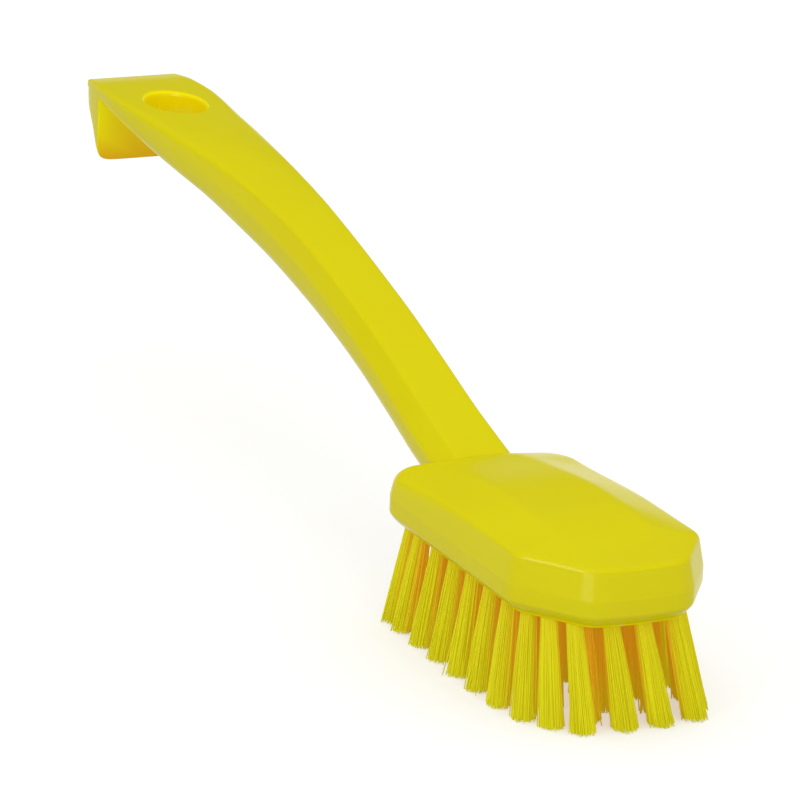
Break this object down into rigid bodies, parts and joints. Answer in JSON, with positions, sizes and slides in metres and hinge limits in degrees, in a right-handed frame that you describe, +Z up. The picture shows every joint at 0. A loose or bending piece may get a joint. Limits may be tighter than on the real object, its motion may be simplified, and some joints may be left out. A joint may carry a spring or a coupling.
{
  "type": "scrub brush",
  "caption": "Long-handled washing brush: a moulded block and arched handle in one piece, with a hanging hole, a hooked lip under its end and fanned tufts of stiff bristle.",
  "frame": {"origin": "on the plane of the bristle tips, under the middle of the whole brush", "axes": "+X along the brush from the handle's end to the nose, +Y across it, +Z up from the bristle tips to the handle"},
  "size_m": [0.4149, 0.065, 0.105],
  "materials": {
    "moulding": "semi-gloss moulded polypropylene",
    "filament": "satin polyester filament"
  },
  "bodies": {
    "root": {"block_and_handle": "moulding", "tuft_01": "filament", "tuft_02": "filament", "tuft_03": "filament", "tuft_04": "filament", "tuft_05": "filament", "tuft_06": "filament", "tuft_07": "filament", "tuft_08": "filament", "tuft_09": "filament", "tuft_10": "filament", "tuft_11": "filament", "tuft_12": "filament", "tuft_13": "filament", "tuft_14": "filament", "tuft_15": "filament", "tuft_16": "filament", "tuft_17": "filament", "tuft_18": "filament", "tuft_19": "filament", "tuft_20": "filament", "tuft_21": "filament", "tuft_22": "filament", "tuft_23": "filament", "tuft_24": "filament", "tuft_25": "filament", "tuft_26": "filament", "tuft_27": "filament", "tuft_28": "filament", "tuft_29": "filament", "tuft_30": "filament", "tuft_31": "filament", "tuft_32": "filament", "tuft_33": "filament", "tuft_34": "filament", "tuft_35": "filament", "tuft_36": "filament", "tuft_37": "filament", "tuft_38": "filament", "tuft_39": "filament", "tuft_40": "filament", "tuft_41": "filament", "tuft_42": "filament", "tuft_43": "filament", "tuft_44": "filament", "tuft_45": "filament", "tuft_46": "filament"}
  },
  "joints": []
}
